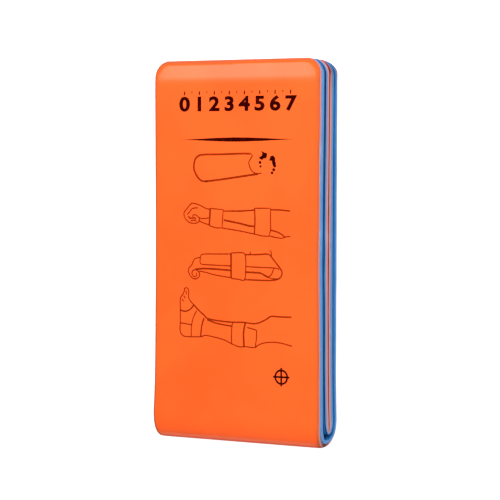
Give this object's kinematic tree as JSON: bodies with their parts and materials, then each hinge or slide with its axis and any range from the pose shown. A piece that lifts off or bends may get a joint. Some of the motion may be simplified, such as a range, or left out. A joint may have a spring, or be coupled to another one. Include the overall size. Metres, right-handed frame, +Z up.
{
  "type": "first aid splint",
  "caption": "Flat-folded first aid splint: a mouldable strip of orange and blue foam over a thin bendable core, with rounded ends and line drawings on its front.",
  "frame": {"origin": "under the middle of the folded pack, on the surface that it lies on", "axes": "+X across the strip, +Y along the folded pack towards the free ends, +Z up through the layers to the printed front panel"},
  "size_m": [0.11, 0.222, 0.0241],
  "materials": {
    "orange_foam": "closed-cell foam with a smooth satin skin",
    "blue_foam": "closed-cell foam with a smooth satin skin",
    "print_ink": "matt printed ink"
  },
  "bodies": {
    "root": {"orange_foam_sheet": "orange_foam", "blue_foam_sheet": "blue_foam"}
  },
  "joints": []
}
